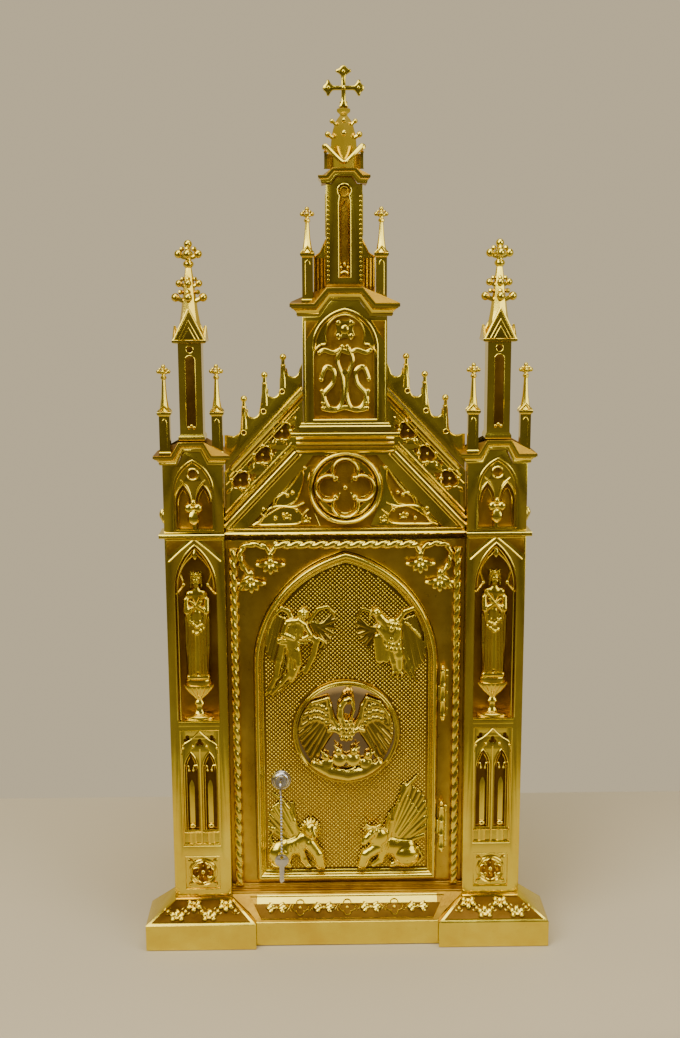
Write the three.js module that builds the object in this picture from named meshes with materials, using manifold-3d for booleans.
// Exposition tabernacle in polished cast brass: a Gothic front with piers, a gable and a tower,
// before a plain hollow cabinet that the arched door closes. Millimetres, +Z up, front to -Y.
import * as THREE from 'three';
import { mergeVertices } from 'three/addons/utils/BufferGeometryUtils.js';
import Module from 'manifold-3d';

const wasm = await Module();
wasm.setup();

// Driving dimensions. Depths are measured from the front face of the pier bases.
const gap = 0.3;
const totalDepth = 320;
const pierBase = { inner: 113.5, outer: 250, wall: 34, height: 55, depth: 66 };
const sill = { front: 9, wall: 32, top: 66, stepDepth: 6 };
const door = { halfWidth: 113, bottom: 71.5, spring: 352, apex: 495.5, play: 0.7, leaf: 5 };
const moulding = { width: 11.5, depth: 9.5 };
const hinge = { x: 119, depth: 42, radius: 4.3, pin: 1.5, bore: 2.3 };
const hingeSpans = { upper: [288, 346], lower: [114, 169] };
const roof = { height: 46, ridgeHalf: 120, overhang: 6, eaves: 9 };
const niche = { halfWidth: 25, bottom: 288, head: 53, apex: 508, depth: 24 };

// The taller of doorway and niche sets the height at which the lower storey ends
const overDoor = 21;
const overNiche = 8.5;
const storeyTop = Math.max(door.apex + overDoor, niche.apex + overNiche);
const pier = { centre: 180.5, width: 71, front: 32, top: storeyTop };
const plate = { front: 50, thickness: 6, top: storeyTop - 6.5 };
const cabinet = {
  halfWidth: 192, bottom: 0, top: storeyTop - 7.5, wall: 4, floor: 58, foot: 46, footOut: 10,
    frameDrop: 39 };
const rope = {
  x: 135.4, radius: 4.6, lay: 18.5, depth: 44.8, top: storeyTop - 15.5, lintelZ: storeyTop - 11.3,
    lintelEnd: 49.4 };
const windowPanel = { halfWidth: 23.5, bottom: 124, top: 275.5, lightHalf: 8.6, lightOffset: 11.4 };
const windowLight = { bottom: 145, spring: 226, apex: 247.5, depth: 8 };
const rosette = { z: 86, radius: 19, lobe: 6.4, offset: 7.2, half: 23, bottom: 60, top: 117 };
const stringCourse = { overhang: 6, height: 5.7 };
const upper = { bottom: storeyTop + 6.3, panelHalf: 23.5, lightHalf: 10, lightOffset: 11.6 };
const pierCornice = { tip: 45, slope: 17.8, flat: 10.2, rise: 16, bottom: storeyTop + 88.5, height: 12 };
const cornerPin = { offset: 30.6, half: 6.5, shaftTop: storeyTop + 148.5, tip: storeyTop + 206.5,
  depth: 32 };
const mainPin = { half: 15.6, shaftTop: storeyTop + 229.5, gabletTop: storeyTop + 266.5, depth: 50 };
const gable = { half: 143.9, eaves: storeyTop + 76.9, slope: 1.05, bottom: storeyTop + gap, depth: 38,
  face: 46 };
const tympanum = { half: 117, bottom: storeyTop + 9.5, top: storeyTop + 104.5, recess: 8,
  innerSlope: 1.02 };
const rose = { z: storeyTop + 57.5, radius: 45, ring: 8, lobe: 12.5, offset: 18.5 };
const crest = { depth: 54, thickness: 5, ball: 4 };
const crestTips = [[119.7, 167.5], [94.9, 195.5], [72.7, 216.5]].map(([x, rise]) => [x, storeyTop + rise]);
const crestValleys = [[131, 120.5], [107.4, 141.5], [83.5, 165.5], [59.5, 189.5]].map(
  ([x, rise]) => [x, storeyTop + rise]);
const quatrefoils = [[125, 28.6], [98, 27], [74.6, 23.7]];
const ledge = { half: 64, height: 5, bottom: storeyTop + 120.5 };
const tower = { half: 49.5, front: 34, depth: 50 };
const towerPanel = { half: 36.5, bottom: ledge.bottom + 20, spring: ledge.bottom + 103,
  apex: ledge.bottom + 147, recess: 5 };
const towerCornice = { tip: 63.6, slope: 29.5, flat: 16.4, rise: 18, bottom: ledge.bottom + 140,
  height: 15.4 };
const towerTop = towerCornice.bottom + towerCornice.height;
const shaft = { half: 21, front: 39 };
const shaftPanel = {
  half: 7, bottom: towerTop + 28.6, top: towerTop + 115.6, keyZ: towerTop + 125.6, keyRadius: 8,
    recess: 5 };
const towerPin = { x: 42.7, half: 6.6, shaftTop: towerTop + 53.6, tip: towerTop + 108.6, depth: 45.5 };
const wing = { inner: towerTop + 73.6, outer: towerTop + 52.6, thickness: 8, fluteHalf: 2 };
const capCornice = { tip: 29.8, slope: 15, flat: 9, rise: 8, bottom: towerTop + 133.9, height: 9 };
const capTop = capCornice.bottom + capCornice.height + capCornice.rise;
const spire = { bottom: capTop + 0.7, half: 15, top: capTop + 57.7, topHalf: 5, neckTop: capTop + 68.7 };
const cross = { z: spire.neckTop + 21, arm: 24, top: spire.neckTop + 46, bar: 2.6, depth: 6, flare: 9 };
const medallion = { z: 267, radius: 66, rim: 3.5, thickness: 5.5 };
const corbel = { bottom: niche.bottom + gap, top: niche.bottom + 50.3 };
const statue = { foot: corbel.top + gap, top: niche.apex - 30, halfWidth: 16.5, halfDepth: 8.4 };
const lock = { x: -81.5, z: 203.8, radius: 12.5, chain: 76.8 };

const frontOf = (depth) => depth - totalDepth / 2;
const pierBack = pierBase.depth;
const gableBack = gable.face + gable.depth;
const leafFront = plate.front;
const overMedallion = medallion.z + medallion.radius;

// Solids and the joining of solids
function solid(geometry) {
  const bare = geometry.index ? geometry.toNonIndexed() : geometry;
  bare.deleteAttribute('normal');
  bare.deleteAttribute('uv');
  const merged = mergeVertices(bare, 1e-4);
  return new wasm.Manifold(new wasm.Mesh({
    numProp: 3,
    vertProperties: new Float32Array(merged.attributes.position.array),
    triVerts: new Uint32Array(merged.index.array),
  }));
}

const join = (...parts) => parts.flat().reduce((whole, next) => whole.add(next));
const cut = (whole, ...tools) => tools.flat().reduce((left, tool) => left.subtract(tool), whole);

function toGeometry(manifold) {
  const mesh = manifold.getMesh();
  const geometry = new THREE.BufferGeometry();
  geometry.setAttribute('position', new THREE.BufferAttribute(new Float32Array(mesh.vertProperties), 3));
  geometry.setIndex(new THREE.BufferAttribute(new Uint32Array(mesh.triVerts), 1));
  return geometry;
}

// The same casting on the other side of the middle plane
function mirrored(manifold) {
  const geometry = toGeometry(manifold);
  const places = geometry.attributes.position;
  for (let i = 0; i < places.count; i += 1) {
    places.setX(i, -places.getX(i));
  }
  const order = geometry.index;
  for (let i = 0; i < order.count; i += 3) {
    const kept = order.getX(i);
    order.setX(i, order.getX(i + 1));
    order.setX(i + 1, kept);
  }
  return solid(geometry);
}

function outlineShape(points) {
  return new THREE.Shape(points.map(([a, b]) => new THREE.Vector2(a, b)));
}

// An outline in X and Z, run through from one depth to another
function facing(points, near, far) {
  const geometry = new THREE.ExtrudeGeometry(outlineShape(points),
    { depth: far - near, bevelEnabled: false });
  geometry.rotateX(Math.PI / 2);
  geometry.translate(0, frontOf(far), 0);
  return solid(geometry);
}

// A profile in depth and Z, run through along X
function alongX(points, left, right) {
  const placed = points.map(([depth, z]) => [frontOf(depth), z]);
  const geometry = new THREE.ExtrudeGeometry(outlineShape(placed),
    { depth: right - left, bevelEnabled: false });
  const turn = new THREE.Matrix4().makeBasis(
    new THREE.Vector3(0, 1, 0), new THREE.Vector3(0, 0, 1), new THREE.Vector3(1, 0, 0));
  geometry.applyMatrix4(turn);
  geometry.translate(left, 0, 0);
  return solid(geometry);
}

// An outline in X and depth, raised from one height to another
function raised(points, low, high) {
  const placed = points.map(([x, depth]) => [x, frontOf(depth)]);
  const geometry = new THREE.ExtrudeGeometry(outlineShape(placed),
    { depth: high - low, bevelEnabled: false });
  geometry.translate(0, 0, low);
  return solid(geometry);
}

function block(left, right, near, far, low, high) {
  const geometry = new THREE.BoxGeometry(right - left, far - near, high - low);
  geometry.translate((left + right) / 2, frontOf((near + far) / 2), (low + high) / 2);
  return solid(geometry);
}

// Rings of equally many points, from low to high, closed at both ends
function loft(rings) {
  const count = rings[0].length;
  const places = rings.flat(2);
  const faces = [];
  for (let level = 0; level + 1 < rings.length; level += 1) {
    for (let i = 0; i < count; i += 1) {
      const a = level * count + i;
      const b = level * count + ((i + 1) % count);
      faces.push(a, b, b + count, a, b + count, a + count);
    }
  }
  const top = (rings.length - 1) * count;
  for (let i = 1; i + 1 < count; i += 1) {
    faces.push(0, i + 1, i, top, top + i, top + i + 1);
  }
  const geometry = new THREE.BufferGeometry();
  geometry.setAttribute('position', new THREE.BufferAttribute(new Float32Array(places), 3));
  geometry.setIndex(faces);
  return solid(geometry);
}

// A turned or stepped upright: each level is [z, half width, half depth]
function stack(x, depth, levels, sides = 4, spin = Math.PI / sides, wave = 0) {
  const grow = sides === 4 && spin > 0 ? Math.SQRT2 : 1;
  return loft(levels.map(([z, halfX, halfY = halfX]) => {
    const ring = [];
    for (let i = 0; i < sides; i += 1) {
      const angle = spin + (2 * Math.PI * i) / sides;
      const fold = i % 2 ? 1 - wave : 1;
      ring.push([
        x + grow * fold * halfX * Math.cos(angle),
        frontOf(depth) + grow * fold * halfY * Math.sin(angle),
        z,
      ]);
    }
    return ring;
  }));
}

function ball(x, depth, z, rx, ry, rz, round = true) {
  const geometry = round ? new THREE.IcosahedronGeometry(1, 0) : new THREE.OctahedronGeometry(1, 0);
  geometry.scale(rx, ry, rz);
  geometry.translate(x, frontOf(depth), z);
  return solid(geometry);
}

// A tapering bar between two places given as [x, depth, z]
function limb(from, to, startRadius, endRadius, sides = 5) {
  const start = new THREE.Vector3(from[0], frontOf(from[1]), from[2]);
  const end = new THREE.Vector3(to[0], frontOf(to[1]), to[2]);
  const length = start.distanceTo(end);
  const geometry = new THREE.CylinderGeometry(endRadius, startRadius, length, sides, 1);
  const turn = new THREE.Quaternion().setFromUnitVectors(
    new THREE.Vector3(0, 1, 0), end.clone().sub(start).normalize());
  geometry.applyQuaternion(turn);
  const middle = start.add(end).multiplyScalar(0.5);
  geometry.translate(middle.x, middle.y, middle.z);
  return solid(geometry);
}

function circle(x, z, radius, sides = 10) {
  return Array.from({ length: sides }, (_, i) => {
    const angle = (2 * Math.PI * (i + 0.5)) / sides;
    return [x + radius * Math.cos(angle), z + radius * Math.sin(angle)];
  });
}

// A pointed arch of two arcs, counter-clockwise from the lower left corner
function archOutline(x, half, bottom, spring, apex, steps = 3) {
  const rise = apex - spring;
  const radius = (half * half + rise * rise) / (2 * half);
  const reach = Math.asin(Math.min(1, rise / radius));
  const points = [[x - half, bottom], [x + half, bottom]];
  for (let i = 0; i <= steps; i += 1) {
    const angle = (reach * i) / steps;
    points.push([x + half - radius + radius * Math.cos(angle), spring + radius * Math.sin(angle)]);
  }
  for (let i = steps - 1; i >= 0; i -= 1) {
    const angle = (reach * i) / steps;
    points.push([x - half + radius - radius * Math.cos(angle), spring + radius * Math.sin(angle)]);
  }
  return points;
}

// A band that breaks upward over a flat middle, as the cornices do
function brokenLine(x, tip, slope, flat, rise, z) {
  return [[x - tip, z], [x - slope, z], [x - flat, z + rise], [x + flat, z + rise], [x + slope, z],
    [x + tip, z]];
}

function brokenCornice(x, size, front, back) {
  const layers = [
    { low: 0, high: 0.3, out: 0.62 },
    { low: 0.3, high: 0.62, out: 0.36 },
    { low: 0.62, high: 1, out: 0 },
  ];
  return join(layers.map(({ low, high, out }, i) => {
    const inset = out * (size.tip - size.slope) * 0.4;
    const line = (share) => brokenLine(
      x, size.tip - inset, size.slope + share * 6, size.flat + share * 4.4, size.rise,
        size.bottom + share * size.height);
    const lap = i ? 0.02 : 0;
    return facing([...line(low - lap), ...line(high).reverse()], front + inset, back);
  }));
}

function brokenTop(x, half, bottom, size) {
  const line = brokenLine(x, half, size.slope, size.flat, size.rise, size.bottom - gap);
  return [[x - half, bottom], [x + half, bottom], ...line.reverse()];
}

// Foot of the piers and the sill between them
function pierBaseSolid(grow = 0) {
  const { inner, outer, wall, height, depth } = pierBase;
  const ring = (left, right, near, z) => [
    [left, frontOf(near), z], [right, frontOf(near), z], [right, frontOf(depth), z],
    [left, frontOf(depth), z]];
  const left = pier.centre - pier.width / 2;
  const right = pier.centre + pier.width / 2;
  return loft([
    ring(inner - grow, outer, 0, 0),
    ring(inner - grow, outer, 0, wall + grow),
    ring(left - grow, right, pier.front, height + grow),
  ]);
}

function pierBasePiece() {
  const middle = (pierBase.inner + pierBase.outer) / 2;
  const slope = (pierBase.height - pierBase.wall) / pier.front;
  const atDepth = (depth) => pierBase.wall + slope * depth;
  const knobs = [-24, -8, 8, 24].map((x) => ball(middle + x, 15, atDepth(15), 6.4, 6, 2.6, false));
  return join(pierBaseSolid(), knobs);
}

function centreBase() {
  const span = pier.centre - pier.width / 2 - gap;
  const step = sill.stepDepth;
  const back = pierBase.depth;
  const profile = [
    [sill.front, 0], [back, 0], [back, sill.top], [plate.front - 2, sill.top],
    [plate.front - 2 - step / 2, sill.top - 3], [plate.front - 2 - step, sill.top - 3],
    [plate.front - 2 - step, sill.top - 6], [plate.front - 3 - 2 * step, sill.top - 6.5],
    [plate.front - 3 - 2 * step, sill.top - 10], [sill.front, sill.wall]];
  const bar = alongX(profile, -span, span);
  const foot = pierBaseSolid(gap);
  const slope = (sill.top - 10 - sill.wall) / (plate.front - 3 - 2 * step - sill.front);
  const motifs = [-3, -2, -1, 0, 1, 2, 3].map((i) => {
    const long = i % 2 ? 13 : 9;
    return ball(i * 29.5, sill.front + 14, sill.wall + slope * 14, long, 8, 2.4, false);
  });
  return join(cut(bar, foot, mirrored(foot)), motifs);
}

// The hollow cabinet and its roof
function cabinetBox() {
  const { halfWidth, bottom, top, wall, floor, foot, footOut, frameDrop } = cabinet;
  const front = pierBase.depth + gap;
  const back = totalDepth - footOut;
  const shell = block(-halfWidth, halfWidth, front, back, bottom, top);
  const step = (out, low, high) => block(-halfWidth - out, halfWidth + out, front, back + out, low, high);
  const middle = (front + back) / 2;
  const frames = [1, -1].map((side) => {
    const peak = top - frameDrop;
    const panel = [
      [front + 24, foot + 30], [back - 24, foot + 30], [back - 24, peak - 70], [middle, peak],
      [front + 24, peak - 70]];
    const heart = (foot + peak - 70) / 2;
    const inside = panel.map(([depth, z]) => [
      middle + (depth - middle) * 0.88, heart + (z - heart) * 0.93]);
    const outer = side > 0 ? halfWidth + 3 : -halfWidth + 1;
    return cut(alongX(panel, outer - 4, outer), alongX(inside, outer - 5, outer + 1));
  });
  const rear = cut(
    block(-halfWidth + 26, halfWidth - 26, back - 1, back + 3, foot + 30, top - 44),
    block(-halfWidth + 34, halfWidth - 34, back - 2, back + 4, foot + 38, top - 52));
  const cavity = block(-halfWidth + wall, halfWidth - wall, front - 1, back - wall, floor, top - wall);
  const under = block(
    -halfWidth + wall, halfWidth - wall, front + wall, back - wall, bottom - 1, floor - wall);
  const whole = join(shell, step(footOut, bottom, foot - 8), step(footOut / 2, foot - 8, foot),
    frames, rear);
  return cut(whole, cavity, under);
}

function cabinetRoof() {
  const { height, ridgeHalf, overhang, eaves } = roof;
  const half = cabinet.halfWidth + overhang;
  const front = gableBack + gap;
  const back = totalDepth;
  const ring = (halfX, near, far, z) => [
    [-halfX, frontOf(near), z], [halfX, frontOf(near), z], [halfX, frontOf(far), z],
    [-halfX, frontOf(far), z]];
  const low = cabinet.top + gap;
  return loft([
    ring(half, front, back, low),
    ring(half, front, back, low + eaves),
    ring(ridgeHalf, front, back - 90, low + height),
  ]);
}

// Front plate, with the doorway cut through it
function frontPlate() {
  const span = pier.centre - pier.width / 2 - gap;
  const doorway = archOutline(
    0, door.halfWidth + door.play, door.bottom - door.play, door.spring, door.apex + door.play, 9);
  return cut(
    block(-span, span, plate.front, plate.front + plate.thickness, sill.top + gap, plate.top),
    facing(doorway, plate.front - 1, plate.front + plate.thickness + 1));
}

// A bar twisted like rope, from one place to another along X or Z
function twisted(from, to, upright, hand) {
  const length = to - from;
  const steps = Math.max(4, Math.round(length / rope.lay));
  const rings = [];
  for (let level = 0; level <= steps; level += 1) {
    const along = from + (length * level) / steps;
    const ring = [];
    for (let i = 0; i < 4; i += 1) {
      const angle = (i * Math.PI) / 2 + (hand * level * Math.PI) / 3;
      const across = rope.radius * Math.cos(angle);
      const out = frontOf(rope.depth) + rope.radius * Math.sin(angle);
      ring.push(upright ? [across, out, along] : [along, out, across]);
    }
    rings.push(upright ? ring : ring.reverse());
  }
  return rings;
}

function ropeColumn() {
  const rings = twisted(sill.top + gap, rope.top, true, 1);
  return loft(rings.map((ring) => ring.map(([x, y, z]) => [x - rope.x, y, z])));
}

function ropeLintel() {
  const half = rope.x - rope.lintelEnd;
  const rings = twisted(-half, half, false, 1);
  return loft(rings.map((ring) => ring.map(([x, y, z]) => [x, y, z + rope.lintelZ])));
}

// Rope loop and two leaves in a top corner of the plate
function cornerTracery() {
  const near = rope.depth - rope.radius * 0.6;
  const far = plate.front - gap;
  const top = rope.lintelZ;
  const loop = [
    [48.7, 3.6], [44.9, -4.2], [38.4, 1.8], [25.4, 4.2], [11.4, 3.4], [5.4, -6.2], [5.4, -23.2],
    [11.4, -37.2], [19.4, -42.2], [21.4, -37.2], [15.4, -31.2], [10.4, -20.2], [10.4, -9.2],
    [14.4, -2.7], [25.4, -2.2], [36.4, -5.2], [42.4, -13.2], [47.4, -13.2],
    [48.7, -7.2]].map(([inward, rise]) => [inward - rope.x, top + rise]);
  const leaf = (x, z, size) => facing([
    [x, z - size], [x + size * 0.28, z - size * 0.3], [x + size * 0.95, z - size * 0.2],
    [x + size * 0.7, z + size * 0.3],
    [x + size * 0.24, z + size * 0.25], [x, z + size * 0.9], [x - size * 0.24, z + size * 0.25],
    [x - size * 0.7, z + size * 0.3], [x - size * 0.95, z - size * 0.2], [x - size * 0.28, z - size * 0.3]],
  near - 0.6, far);
  const leaves = [[44.9, -21.2], [21.4, -43.2]].map(([inward, rise]) => [inward - rope.x, top + rise]);
  const knobs = leaves.map(([x, z]) => ball(x, near, z + 1, 4.4, 2.8, 4.4, false));
  return join(facing(loop, near, far), leaves.map(([x, z]) => leaf(x, z, 15)), knobs);
}

// Lower pier with its rosette, window and niche
function pierSolid() {
  const x = pier.centre;
  const half = pier.width / 2;
  const front = pier.front;
  const body = block(x - half, x + half, front, pierBack, pierBase.height + gap, pier.top);
  const near = front - 1;
  const { z, radius, lobe, offset } = rosette;
  const squarePanel = block(
    x - rosette.half, x + rosette.half, near, front + 2.5, rosette.bottom, rosette.top);
  const ring = cut(
    facing(circle(x, z, radius, 10), front + 1.2, front + 4),
    facing(circle(x, z, radius - 3.2, 10), front, front + 5));
  const lobes = [0, 1, 2, 3].map((i) => {
    const angle = (Math.PI / 2) * i;
    return facing(
      circle(x + offset * Math.cos(angle), z + offset * Math.sin(angle), lobe, 5), near, front + 7);
  });
  const panel = block(
    x - windowPanel.halfWidth, x + windowPanel.halfWidth, near, front + 2, windowPanel.bottom,
      windowPanel.top);
  const lights = [-1, 1].map((side) => facing(archOutline(
    x + side * windowPanel.lightOffset, windowPanel.lightHalf, windowLight.bottom, windowLight.spring,
    windowLight.apex, 2), near, front + windowLight.depth));
  const eyes = [-15, 0, 15].map((dx) => facing(
    circle(x + dx, windowLight.apex + (dx ? 15.5 : 10.5), dx ? 4.4 : 3.6, 4),
      near, front + windowLight.depth));
  const recess = facing(
    archOutline(x, niche.halfWidth, niche.bottom, (niche.apex - niche.head), niche.apex, 3),
      near, front + niche.depth);
  const cusps = [-1, 1].map((side) => facing([
    [x + side * (niche.halfWidth + 1), (niche.apex - niche.head) - 8],
    [x + side * (niche.halfWidth - 9), (niche.apex - niche.head) + 7],
    [x + side * (niche.halfWidth - 5), (niche.apex - niche.head) + 28]], front + 2, front + 12));
  const pierced = cut(body, squarePanel, panel, lights, eyes, recess);
  return cut(join(pierced, ring, cusps), lobes);
}

function statueCorbel() {
  const { bottom, top } = corbel;
  const height = top - bottom;
  const deep = 0.52;
  const levels = [
    [0, 19], [0.07, 19], [0.15, 5], [0.3, 3.5], [0.4, 6], [0.5, 3.2], [0.58, 8], [0.8, 18], [0.86, 18],
    [0.88, 15.5], [1, 15]];
  return stack(pier.centre, pier.front + niche.depth / 2, levels.map(([share, half]) => [
    bottom + share * height, half, half * deep]), 8, 0);
}

// Robed crowned figure with crossed arms; every size is a share of its height
function statueSolid() {
  const height = statue.top - statue.foot;
  const x = pier.centre;
  const depth = pier.front + niche.depth / 2;
  const at = (share) => statue.foot + share * height;
  const wide = statue.halfWidth;
  const deep = statue.halfDepth;
  const figure = stack(x, depth, [
    [at(0), wide * 0.92, deep], [at(0.05), wide * 0.92, deep], [at(0.09), wide * 0.78, deep * 0.95],
    [at(0.6), wide * 0.84, deep * 0.82], [at(0.76), wide * 0.98, deep * 0.74], [at(0.82),
    wide * 0.84, deep * 0.6],
    [at(0.86), wide * 0.24, deep * 0.45], [at(0.885), wide * 0.36, deep * 0.72], [at(0.95),
    wide * 0.34, deep * 0.68],
    [at(1), wide * 0.42, deep * 0.76]],
  8, 0, 0.16);
  const arms = [-1, 1].map((side) => limb(
    [x + side * wide * 0.9, depth - 3, at(0.62)], [x - side * 5, depth - 8.6, at(0.7)], 4, 2.8, 4));
  const staff = limb([x - 10, depth - 9, at(0.76)], [x + 9, depth - 8.6, at(0.6)], 1.8, 1.8, 4);
  return join(figure, arms, staff);
}

function stringCourseSolid() {
  const half = pier.width / 2 + stringCourse.overhang;
  const low = pier.top + gap;
  const front = pier.front - stringCourse.overhang;
  return alongX([
    [front, low + 2], [front + 2, low], [pierBack, low], [pierBack, low + stringCourse.height - gap],
    [front + 1, low + stringCourse.height - gap], [front, low + 4]], gable.half + gap, pier.centre + half);
}

function pierUpperSolid() {
  const x = pier.centre;
  const front = pier.front;
  const body = facing(brokenTop(x, pier.width / 2, upper.bottom, pierCornice), front, pierBack);
  const near = front - 1;
  const { bottom, panelHalf, lightHalf, lightOffset } = upper;
  const panel = facing(archOutline(x, panelHalf, bottom + 3, bottom + 52.2, bottom + 88.2, 2),
    near, front + 2.5);
  const lights = [-1, 1].map((side) => facing(archOutline(
    x + side * lightOffset, lightHalf, bottom + 3, bottom + 37.2, bottom + 60.2, 2), near, front + 7));
  const eye = facing(circle(x, bottom + 70.7, 5.4, 6), near, front + 7);
  const boss = [
    ball(x - 7, front + 5, bottom + 33.2, 8, 5, 6, false),
    ball(x + 7, front + 5, bottom + 33.2, 8, 5, 6, false),
    limb([x, front + 5, bottom + 37.2], [x, front + 5, bottom + 7.2], 8, 2.2, 5),
  ];
  const leaf = ball(x + pier.width / 2, front + 17, bottom + 17.2, 5, 6, 10, false);
  return join(cut(body, panel, lights, eye), boss, leaf);
}

function mainPinnacle() {
  const { half, shaftTop, gabletTop, depth } = mainPin;
  const x = pier.centre;
  const foot = pierCornice.bottom + pierCornice.height + pierCornice.rise + gap;
  const neck = gabletTop + 53;
  const body = stack(x, depth, [
    [foot, half], [foot + 4, half], [foot + 7, half - 2], [shaftTop, half - 2], [shaftTop + 2, half + 4.6],
    [shaftTop + 5, half + 3.4], [gabletTop + 4, 7.6], [neck, 3.2], [neck + 3, 5], [neck + 7, 5],
    [neck + 9, 2.6],
    [neck + 25, 2.6], [neck + 29, 0.8]]);
  const recess = facing(archOutline(x, 5, foot + 16, shaftTop - 8, shaftTop - 1, 2),
    depth - half - 1, depth - half + 5);
  const side = [
    [5, 6], [19, 13], [6, 20], [13.4, 28], [3, 35], [2, 64], [14, 70], [2, 76.5]].map(
    ([out, rise]) => [out, gabletTop + rise]);
  const crockets = [...side, ...side.map(([out, z]) => [-out, z]).reverse()];
  const across = (points, thick) => facing(points.map(([out, z]) => [x + out, z]),
    depth - thick, depth + thick);
  const along = (points, thick) => alongX(points.map(([out, z]) => [depth + out, z]), x - thick, x + thick);
  return join(
    cut(body, recess), across(crockets, 3.6), along(crockets, 3.6));
}

// Small pinnacles: shaft, cap, spirelet and a knob with four leaves
function smallPinnacle(x, depth, foot, half, shaftTop, tip) {
  const cap = shaftTop + 2;
  const neck = tip - 17;
  const body = stack(x, depth, [
    [foot, half], [shaftTop, half], [cap, half + 1.8], [cap + 2.5, half + 1.8], [cap + 7, half * 0.55],
    [neck, 1.9], [neck + 2, 3.4], [tip - 13, 2.2], [tip - 9, 7.6], [tip - 5, 2.4], [tip, 0.6]]);
  return body;
}

// Gable with raking mouldings, rose and side tracery
function gableLine(x) {
  return gable.eaves + gable.slope * (gable.half - Math.abs(x));
}

function gableSolid() {
  const { half, bottom, face } = gable;
  const inner = tower.half + gap;
  const body = facing([
    [-half, bottom], [half, bottom], [half, gableLine(half)], [inner, gableLine(inner)],
    [inner, ledge.bottom],
    [-inner, ledge.bottom], [-inner, gableLine(inner)], [-half, gableLine(half)]], face, gableBack);
  const rake = (side, drop, thick, from, to, near) => facing([
    [side * from, gableLine(from) - drop], [side * from, gableLine(from) - drop - thick],
    [side * to, gableLine(to) - drop - thick], [side * to, gableLine(to) - drop]], near, face + 0.1);
  const mouldings = [-1, 1].flatMap((side) => [
    rake(side, 0, 8, half - 14, inner, face - 7.5),
    rake(side, 8, 4, half - 10, inner, face - 4),
    rake(side, 54, 7, half, ledge.half + 2, face - 8),
    rake(side, 61, 12, half, ledge.half - 7, face - 4.5),
  ]);
  const bars = [
    block(-half, half, face - 6, face + 0.1, bottom, bottom + 9),
    block(6 - ledge.half, ledge.half - 6, face - 5.5, face + 0.1, ledge.bottom - 21, ledge.bottom - 7),
  ];
  const slopeTop = tympanum.top - 18.5;
  const field = facing([
    [-tympanum.half, tympanum.bottom], [tympanum.half, tympanum.bottom], [46, slopeTop],
    [38, tympanum.top - 8],
    [-38, tympanum.top - 8], [-46, slopeTop]], face - 9, face + 3);
  const leafHoles = [-1, 1].flatMap((side) => [
    [[21, 5], [57, 5], [63, 15], [53, 23], [39, 20]],
    [[39, 30], [51, 27], [61, 40], [63, 60], [51, 49]],
  ].map((points) => {
    const placed = points.map(([inward, rise]) => [side * (tympanum.half - inward),
      tympanum.bottom + rise]);
    return facing(placed, face, face + tympanum.recess);
  }));
  const roseHole = facing(circle(0, rose.z, rose.radius - 1, 12), face - 9, face + tympanum.recess + 2);
  const ring = cut(
    facing(circle(0, rose.z, rose.radius, 12), face - 4, face + 11),
    facing(circle(0, rose.z, rose.radius - rose.ring, 12), face - 5, face + 11));
  const web = cut(
    facing(circle(0, rose.z, rose.radius - rose.ring + 1, 12), face + 1, face + 11),
    [0, 1, 2, 3].map((i) => facing(circle(
      rose.offset * Math.cos((i * Math.PI) / 2), rose.z + rose.offset * Math.sin((i * Math.PI) / 2),
      rose.lobe, 6), face, face + 9)));
  const foils = quatrefoils.flatMap(([x, drop]) => [-1, 1].map((side) => facing(
    circle(side * x, gableLine(x) - drop, 9, 6), face - 1, face + 4)));
  const carved = cut(join(body, mouldings, bars), field, leafHoles, roseHole, foils);
  return join(carved, ring, web);
}

// Scalloped crest on the left rake, with three ball-topped spirelets
function gableCrest() {
  const points = [];
  const lift = gap + 0.1;
  const start = gable.half - gap;
  const end = tower.half + gap;
  points.push([-start, crestValleys[0][1]], [-crestValleys[0][0], crestValleys[0][1]]);
  crestTips.forEach(([x, tip], i) => {
    const next = crestValleys[i + 1];
    points.push([-x - 4.4, tip - 33], [-x - 1.3, tip - 14], [-x - 1.3, tip - 4]);
    points.push([-x + 1.3, tip - 4], [-x + 1.3, tip - 14], [-x + 4.6, tip - 26]);
    points.push([-next[0] - 3.5, next[1] + 1.5], [-next[0], next[1]]);
  });
  points.push([-end, crestValleys[3][1] + 16]);
  points.push([-end, gableLine(end) + lift]);
  const step = crestValleys[0][0] + 1;
  points.push([-step, gableLine(step) + lift]);
  points.push([-step, crestValleys[0][1] - 5], [-start, crestValleys[0][1] - 5]);
  const sheet = facing(points.reverse(), crest.depth, crest.depth + crest.thickness);
  const middle = crest.depth + crest.thickness / 2;
  const balls = crestTips.map(([x, tip]) => ball(-x, middle, tip - crest.ball, crest.ball, crest.ball,
    crest.ball, false));
  return join(sheet, balls);
}

// Tower, from its ledge up to the cross
function towerLedge() {
  const near = tower.front - 5;
  const rear = tower.front + 3.6;
  const back = gableBack + 6;
  const inside = tower.half - gap;
  return raised([
    [-ledge.half, near], [ledge.half, near], [ledge.half, rear], [inside, rear], [inside, back],
    [-inside, back],
    [-inside, rear], [-ledge.half, rear]], ledge.bottom + gap, ledge.bottom + ledge.height);
}

function towerLower() {
  const low = ledge.bottom + ledge.height + gap;
  const inside = tower.half - gap;
  const back = tower.front + tower.depth;
  const body = facing(brokenTop(0, inside, low, towerCornice), tower.front, back);
  const plinth = block(-ledge.half + 10, ledge.half - 10, tower.front - 3, tower.front + 3.6, low, low + 8);
  const { half, bottom, spring, apex, recess } = towerPanel;
  const panel = facing(archOutline(0, half, bottom, spring, apex, 4),
    tower.front - 1, tower.front + recess);
  return cut(join(body, plinth), panel);
}

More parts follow.
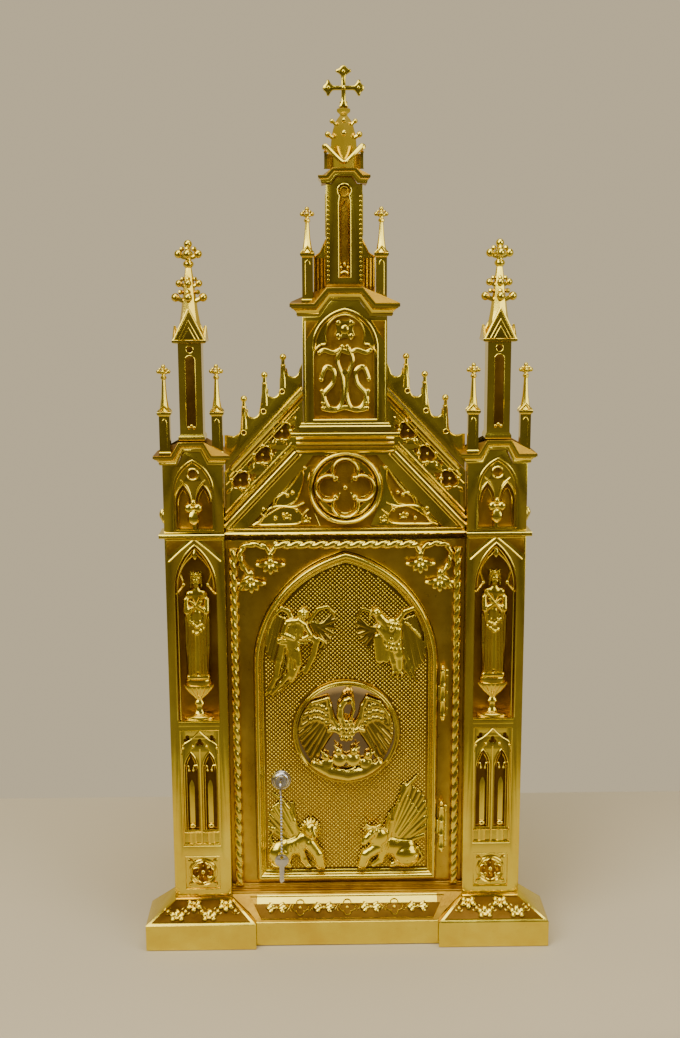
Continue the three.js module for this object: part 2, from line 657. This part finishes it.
// Cross-shaped flower over a plain interlaced strap ornament
function towerEmblem() {
  const back = tower.front + towerPanel.recess - gap;
  const near = back - 3;
  const low = towerPanel.bottom;
  const z = towerPanel.apex - 22;
  const flower = [
    [-4, -4], [-7, -12], [7, -12], [4, -4], [12, -7], [12, 7], [4, 4], [7, 12], [-7, 12], [-4, 4], [-12, 7],
    [-12, -7]].map(([dx, dz]) => [dx, z + dz]);
  const strap = [
    [2, 85], [24, 70], [30, 51], [20, 32], [8, 33], [10, 15], [26, 15], [26, 10], [4, 10],
    [2, 40], [16, 38], [24, 51], [19, 65], [2, 78]];
  const side = (way) => facing(strap.map(([dx, up]) => [way * dx, low + up]), near, back);
  const stem = block(-3.4, 3.4, near - 0.6, back, low + 10, z - 11);
  return join(facing(flower, near, back), ball(0, near, z, 5.5, 2.6, 5.5), stem, side(1), side(-1));
}

function towerShaft() {
  const { half, front, top } = shaft;
  const foot = towerTop + towerCornice.rise + gap;
  const back = front + 2 * half;
  const body = facing(brokenTop(0, half, foot, capCornice), front, back);
  const near = front - 1;
  const panel = facing(archOutline(
    0, shaftPanel.half, shaftPanel.bottom, shaftPanel.top - 10, shaftPanel.top, 2),
      near, front + shaftPanel.recess);
  const key = facing(circle(0, shaftPanel.keyZ, shaftPanel.keyRadius, 10), near, front + shaftPanel.recess);
  const base = towerTop + gap;
  const outer = towerPin.x - towerPin.half - gap;
  const wingDepth = front + half - wing.thickness;
  const wings = [-1, 1].map((side) => {
    const outline = [
      [half - 1, foot + gap], [half + gap, foot + gap], [outer, base + gap], [outer, wing.outer],
      [half + 7, wing.outer + 5], [half, wing.inner], [half - 1, wing.inner]].map(([x,
      z]) => [side * x, z]);
    return facing(outline, wingDepth, wingDepth + 2 * wing.thickness);
  });
  const fluteX = (half + outer) / 2;
  const flutes = [-1, 1].map((side) => block(
    side * fluteX - wing.fluteHalf, side * fluteX + wing.fluteHalf, wingDepth - 1, wingDepth + 3,
      base + 27.3,
    wing.outer - 3));
  return cut(join(body, wings), panel, key, flutes);
}

function towerSpire() {
  const { bottom, half, top, topHalf, neckTop } = spire;
  const depth = shaft.front + shaft.half;
  const low = capTop + gap;
  const body = stack(0, depth, [
    [low, half - 2], [bottom + 4, half - 2], [bottom + 24, half - 3], [top - 12, topHalf + 3],
    [top, topHalf + 0.6],
    [top + 1, 4], [top + 4, 8], [top + 8, 8], [neckTop - 0.5, 4]], 6, 0);
  const fork = [
    [0, bottom + 3], [6, bottom + 3], [21, bottom + 14], [25.4, bottom + 18], [22, bottom + 22],
    [17, bottom + 19],
    [0, bottom + 9]];
  const crocket = [
    [4, 26], [20, 30], [22, 35], [17, 39.5], [9, 40], [15.4, 45.5], [12.5, 50], [4, 51]].map(
    ([out, rise]) => [out, bottom + rise]);
  const both = (points) => [...points, ...points.map(([out, z]) => [-out,
    z]).reverse().filter(([out]) => out)];
  const plates = both(crocket);
  const forks = [-1, 1].map((way) => facing(both(fork), depth + way * 12 - 3.2, depth + way * 12 + 3.2));
  return join(
    body, forks, facing(plates, depth - 3.6, depth + 3.6),
    alongX(plates.map(([out, z]) => [depth + out, z]), -3.6, 3.6));
}

function crossSolid() {
  const depth = shaft.front + shaft.half;
  const { z, arm, top, bar, flare } = cross;
  const near = depth - cross.depth / 2;
  const far = depth + cross.depth / 2;
  const low = spire.neckTop - 0.5 + gap;
  const fleur = (length) => [
    [-bar, length - flare - 5], [bar, length - flare - 5], [flare * 0.72, length - flare * 0.8],
    [flare, length - flare * 0.35], [bar, length - flare * 0.42], [0, length],
    [-bar, length - flare * 0.42],
    [-flare, length - flare * 0.35], [-flare * 0.72, length - flare * 0.8]];
  const stub = arm - flare - 3;
  const upright = facing([[-bar, low], [bar, low], [bar, z + stub], [-bar, z + stub]], near, far);
  const across = facing([[-stub, z - bar], [stub, z - bar], [stub, z + bar], [-stub, z + bar]], near, far);
  const head = facing(fleur(top - z).map(([x, up]) => [x, z + up]), near, far);
  const left = facing(fleur(arm).map(([x, up]) => [-up, z + x]), near, far);
  const right = facing(fleur(arm).map(([x, up]) => [up, z - x]), near, far);
  const foot = facing([[-6, low], [6, low], [3, low + 5], [-3, low + 5]], near, far);
  return join(upright, across, head, left, right, foot, ball(0, depth, z, 4.4, 4.4, 4.4, false));
}

// Door: leaf, arch moulding, medallion and reliefs
function doorLeaf() {
  return facing(
    archOutline(0, door.halfWidth, door.bottom, door.spring, door.apex, 9),
      leafFront, leafFront + door.leaf);
}

function arch(inset) {
  return archOutline(
    0, door.halfWidth - inset, door.bottom + inset * 1.05, door.spring, door.apex - inset * 1.2, 7);
}

function doorMoulding() {
  const back = leafFront - gap;
  const levels = [[0, 0], [0, 0.55], [2.6, 1], [6.2, 1], [8.2, 0.4], [moulding.width, 0]];
  const rings = levels.map(([inset, share]) => arch(inset).map(([x, z]) => [
    x, frontOf(back - share * moulding.depth), z]));
  const count = rings[0].length;
  const faces = [];
  for (let level = 0; level < rings.length; level += 1) {
    const next = ((level + 1) % rings.length) * count;
    for (let i = 0; i < count; i += 1) {
      const j = (i + 1) % count;
      const a = level * count + i;
      const b = level * count + j;
      faces.push(a, b, next + j, a, next + j, next + i);
    }
  }
  const geometry = new THREE.BufferGeometry();
  geometry.setAttribute('position', new THREE.BufferAttribute(new Float32Array(rings.flat(2)), 3));
  geometry.setIndex(faces);
  return solid(geometry);
}

function medallionSolid() {
  const { radius, rim, thickness, z } = medallion;
  const profile = [[0, 0], [radius, 0], [radius, thickness + 1.4], [radius - rim, thickness + 1.4],
    [radius - rim, thickness], [0, thickness]];
  const geometry = new THREE.LatheGeometry(profile.map(([r, up]) => new THREE.Vector2(r, up)), 22);
  geometry.rotateX(Math.PI);
  geometry.translate(0, frontOf(leafFront - gap), z);
  return solid(geometry);
}

// A wing as an outline with stepped feather tips, bent back from a shoulder
function wingSolid(shoulder, tips, near, far) {
  return facing([shoulder, ...tips], near, far);
}

function flatBack(relief, far) {
  const reach = door.halfWidth + 30;
  return cut(relief, block(-reach, reach, far, far + 40, -reach, door.apex + 30));
}

// A figure is drawn from a side edge of the leaf, and stays inside the arch moulding
function onLeaf(side, foot, relief) {
  const far = leafFront - gap;
  const inside = facing(arch(moulding.width + 2 * gap), far - 30, far);
  return flatBack(relief.translate([side * door.halfWidth, 0, foot]), far).intersect(inside);
}

function pelicanRelief() {
  const far = leafFront - gap - medallion.thickness - gap;
  const d = far - 1;
  const wings = [-1, 1].map((side) => wingSolid([side * 3, 9], [
    [side * 10, 29], [side * 24, 46], [side * 34, 41], [side * 43, 25], [side * 47, 9], [side * 42, -9],
    [side * 24, -7], [side * 6, -11]], far - 3.4, far));
  const body = ball(0, d, 7, 12, 6, 24);
  const neck = limb([-2, d - 3, 21], [3, d - 3.4, 41], 5, 4, 5);
  const beak = limb([5, d - 4, 42], [-5, d - 6, 24], 3, 1, 4);
  const young = [-20, 0, 19].map((x) => limb([x, d - 2, -35], [x + 1, d - 4, -11], 8, 4.4, 4));
  const nest = facing([
    [-36, -43], [-26, -54], [-8, -59.5], [10, -59.5], [28, -53], [37, -43], [33, -29], [16, -24],
    [-16, -24],
    [-33, -29]], far - 5, far);
  return flatBack(join(wings, body, neck, beak, young, nest), far).translate([0, 0, medallion.z]);
}

function angelRelief() {
  const far = leafFront - gap;
  const d = far - 1;
  return onLeaf(-1, overMedallion, join(
    wingSolid([47, 71], [[41, 91], [31, 95], [17, 77], [14, 55], [17, 33], [27, 43], [37, 53]],
      far - 4, far),
    wingSolid([65, 71], [[79, 91], [91, 95], [99, 79], [100, 59], [91, 47], [75, 57]],
      far - 2.6, far),
    limb([57, d - 2, 71], [63, d - 3, 93], 6, 5.6, 5), ball(56, d - 2, 69, 14, 7, 15),
    limb([51, d - 1, 65], [47, d - 1, 17], 11, 12, 5), limb([47, d - 1, 19], [22, d, -15], 10, 4, 4),
    limb([51, d, 19], [55, d, -3], 8, 5, 4), limb([35, d - 4, 53], [77, d - 4, 55], 3.8, 3.8, 4)));
}

function eagleRelief() {
  const far = leafFront - gap;
  const d = far - 1;
  return onLeaf(1, overMedallion, join(
    wingSolid([-51, 67], [[-39, 87], [-23, 89], [-16, 69], [-15, 39], [-21, 11], [-31, 25], [-41, 45]],
      far - 4, far),
    wingSolid([-67, 67], [[-79, 85], [-93, 87], [-101, 71], [-99, 53], [-85, 51], [-73, 57]],
      far - 2.6, far),
    ball(-75, d - 3, 86, 7, 6, 6.5), limb([-79, d - 4, 85], [-88, d - 4, 78], 2.6, 0.8, 4),
    ball(-58, d - 2, 59, 13, 7, 21), limb([-55, d - 1, 47], [-47, d, 11], 10, 5, 5),
    facing([[-77, 51], [-63, 45], [-60, 57], [-74, 63]], far - 7, far)));
}

function lionRelief() {
  const far = leafFront - gap;
  const d = far - 1;
  return onLeaf(-1, door.bottom, join(
    wingSolid([53, 58.5], [[51, 80.5], [41, 102.5], [22, 117.5], [15, 100.5], [14, 70.5], [21, 40.5],
      [37, 40.5]],
      far - 4, far),
    ball(49, d - 1, 40.5, 27, 8, 19), ball(68, d - 2, 62.5, 17, 7, 19), ball(73, d - 6, 65.5, 9.5, 7, 11),
    ball(79, d - 9, 60.5, 5, 5, 4.4, false), limb([65, d - 3, 40.5], [87, d - 3, 19.5], 8, 5, 4),
    limb([51, d - 2, 32.5], [67, d - 2, 18.5], 8, 5, 4), limb([27, d - 2, 34.5], [35, d - 2, 18.5],
      9, 5, 4)));
}

function oxRelief() {
  const far = leafFront - gap;
  const d = far - 1;
  return onLeaf(1, door.bottom, join(
    wingSolid([-55, 56.5], [[-51, 86.5], [-37, 118.5], [-19, 142.5], [-14, 118.5], [-14, 78.5],
      [-21, 44.5], [-39, 40.5]],
      far - 4, far),
    ball(-47, d - 1, 40.5, 26, 8, 19), ball(-69, d - 3, 56.5, 14, 7, 15),
    limb([-71, d - 5, 56.5], [-84, d - 5, 44.5], 8, 5.4, 5), limb([-71, d - 5, 60.5],
      [-86, d - 6, 76.5], 3, 0.9, 4),
    limb([-67, d - 5, 60.5], [-59, d - 6, 82.5], 3, 0.9, 4),
    limb([-65, d - 3, 36.5], [-83, d - 3, 19.5], 7, 4.4, 4), limb([-47, d - 2, 32.5],
      [-61, d - 2, 18.5], 7, 4.4, 4),
    limb([-25, d - 2, 32.5], [-29, d - 2, 18.5], 9, 5, 4)));
}

// Hinges on the right edge; the pin runs through three knuckles
function knuckle(low, high, bored) {
  const tube = stack(hinge.x, hinge.depth, [[low, hinge.radius], [high, hinge.radius]], 8);
  const hole = stack(hinge.x, hinge.depth, [[low - 1, bored], [high + 1, bored]], 6);
  return { tube, hole };
}

function hingeParts([low, high]) {
  const third = (high - low) / 3;
  const rest = leafFront - gap;
  const tab = (from, to) => block(hinge.x - 1, hinge.x + 7, hinge.depth + 2, rest, from, to);
  const frameKnuckles = [[low, low + third], [high - third, high]].map(([from, to]) => {
    const { tube, hole } = knuckle(from, to, hinge.bore);
    return cut(join(tube, tab(from, to)), hole);
  });
  const from = low + third + gap;
  const to = high - third - gap;
  const { tube, hole } = knuckle(from, to, hinge.bore);
  const tongue = block(door.halfWidth + gap, hinge.x - 2.6, hinge.depth, hinge.depth + 4, from, to);
  const head = hinge.radius * 0.9;
  const pin = stack(hinge.x, hinge.depth, [
    [low - 7, 0.8], [low - 4, head], [low - gap, 2.8], [low - gap, hinge.pin],
    [high + gap, hinge.pin], [high + gap, 2.8], [high + 4, head], [high + 7, 0.8]], 6);
  const flange = block(hinge.x + 4.5, hinge.x + 7, hinge.depth + 4, rest, low, high);
  return { frame: join(frameKnuckles, flange), pin, door: cut(join(tube, tongue), hole) };
}

// Lock with its key, ball chain and spare key
function lockCylinder() {
  const far = leafFront - gap;
  return cut(
    join(facing(circle(lock.x, lock.z, lock.radius, 16), far - 6, far),
      facing(circle(lock.x, lock.z, lock.radius * 0.62, 12), far - 9, far - 5)),
    block(lock.x - 1.6, lock.x + 1.6, far - 12, far - 5, lock.z - 5, lock.z + 5));
}

function keyInLock() {
  const far = leafFront - gap - 5 - gap;
  const blade = block(lock.x - 1.2, lock.x + 1.2, far - 8, far, lock.z - 4, lock.z + 4);
  const bow = cut(
    alongX(circle(far - 13, lock.z, 9, 10), lock.x - 1.2, lock.x + 1.2),
    alongX(circle(far - 15, lock.z - 4, 2.6, 6), lock.x - 2, lock.x + 2));
  return join(blade, bow);
}

function keyChain() {
  const depth = leafFront - 20;
  const beads = 7;
  const top = lock.z - 11;
  const step = lock.chain / (beads - 1);
  const cord = limb([lock.x, depth, top], [lock.x, depth, top - lock.chain], 0.9, 0.9, 4);
  const row = Array.from({ length: beads }, (_, i) => ball(lock.x, depth, top - i * step, 2.1, 2.1,
    2.1, false));
  return join(cord, row);
}

function spareKey() {
  const depth = leafFront - 20;
  const top = lock.z - 11 - lock.chain - 2.6;
  const bow = facing(circle(lock.x, top - 9, 9, 10), depth - 1.2, depth + 1.2);
  const blade = block(lock.x - 3.4, lock.x + 3.4, depth - 1.2, depth + 1.2, top - 39, top - 14);
  return cut(join(bow, blade), facing(circle(lock.x, top - 5, 2, 6), depth - 3, depth + 3));
}

// Colours of the finished brass
const brass = { color: 0xc79a2e, metalness: 1, roughness: 0.24 };
const stippled = { color: 0xb0792a, metalness: 1, roughness: 0.4 };
const steel = { color: 0xb9b8b2, metalness: 1, roughness: 0.3 };

const tabernacle = new THREE.Group();

function place(name, manifold, finish = brass) {
  const mesh = new THREE.Mesh(toGeometry(manifold), new THREE.MeshStandardMaterial(finish));
  mesh.name = name;
  tabernacle.add(mesh);
}

function placePair(name, rightHand, finish = brass) {
  place(`${name}_right`, rightHand, finish);
  place(`${name}_left`, mirrored(rightHand), finish);
}

const bothPins = [-1, 1].flatMap((side) => [-1,
  1].map((way) => side * pier.centre + way * cornerPin.offset));
const corniceTop = pierCornice.bottom + pierCornice.height;
const hinges = { upper: hingeParts(hingeSpans.upper), lower: hingeParts(hingeSpans.lower) };

placePair('pier_base', pierBasePiece());
place('centre_base', centreBase());
place('cabinet', cabinetBox(), stippled);
place('cabinet_roof', cabinetRoof(), stippled);
place('front_plate', frontPlate());
place('rope_column_left', ropeColumn());
place('rope_column_right', mirrored(ropeColumn()));
place('rope_lintel', ropeLintel());
place('corner_tracery_left', cornerTracery());
place('corner_tracery_right', mirrored(cornerTracery()));
placePair('pier', pierSolid());
placePair('statue', statueSolid());
placePair('statue_corbel', statueCorbel());
placePair('string_course', stringCourseSolid());
placePair('pier_upper', pierUpperSolid());
placePair('pier_cornice', brokenCornice(pier.centre, pierCornice, pier.front - 10, pierBack));
placePair('pinnacle', mainPinnacle());
bothPins.forEach((x, i) => place(`corner_pinnacle_${i + 1}`, smallPinnacle(
  x, cornerPin.depth, corniceTop + gap, cornerPin.half, cornerPin.shaftTop, cornerPin.tip)));
place('gable', gableSolid());
place('gable_crest_left', gableCrest());
place('gable_crest_right', mirrored(gableCrest()));
place('tower_ledge', towerLedge());
place('tower_lower', towerLower(), stippled);
place('tower_emblem', towerEmblem());
place('tower_cornice', brokenCornice(0, towerCornice, tower.front - 9, tower.front + tower.depth + 6));
place('tower_shaft', towerShaft());
placePair('tower_pinnacle', smallPinnacle(
  towerPin.x, towerPin.depth, towerTop + gap, towerPin.half, towerPin.shaftTop, towerPin.tip));
place('tower_cap', brokenCornice(0, capCornice, shaft.front - 7, shaft.front + 2 * shaft.half + 7));
place('tower_spire', towerSpire());
place('cross', crossSolid());
Object.entries(hinges).forEach(([level, parts]) => {
  place(`hinge_${level}_frame`, parts.frame);
  place(`hinge_${level}_pin`, parts.pin);
  place(`hinge_${level}_knuckle`, parts.door);
});
place('door_leaf', doorLeaf());
place('door_moulding', doorMoulding());
place('medallion', medallionSolid());
place('pelican_relief', pelicanRelief());
place('angel_relief', angelRelief());
place('eagle_relief', eagleRelief());
place('lion_relief', lionRelief());
place('ox_relief', oxRelief());
place('lock_cylinder', lockCylinder(), steel);
place('key', keyInLock(), steel);
place('key_chain', keyChain(), steel);
place('spare_key', spareKey(), steel);

export default tabernacle;
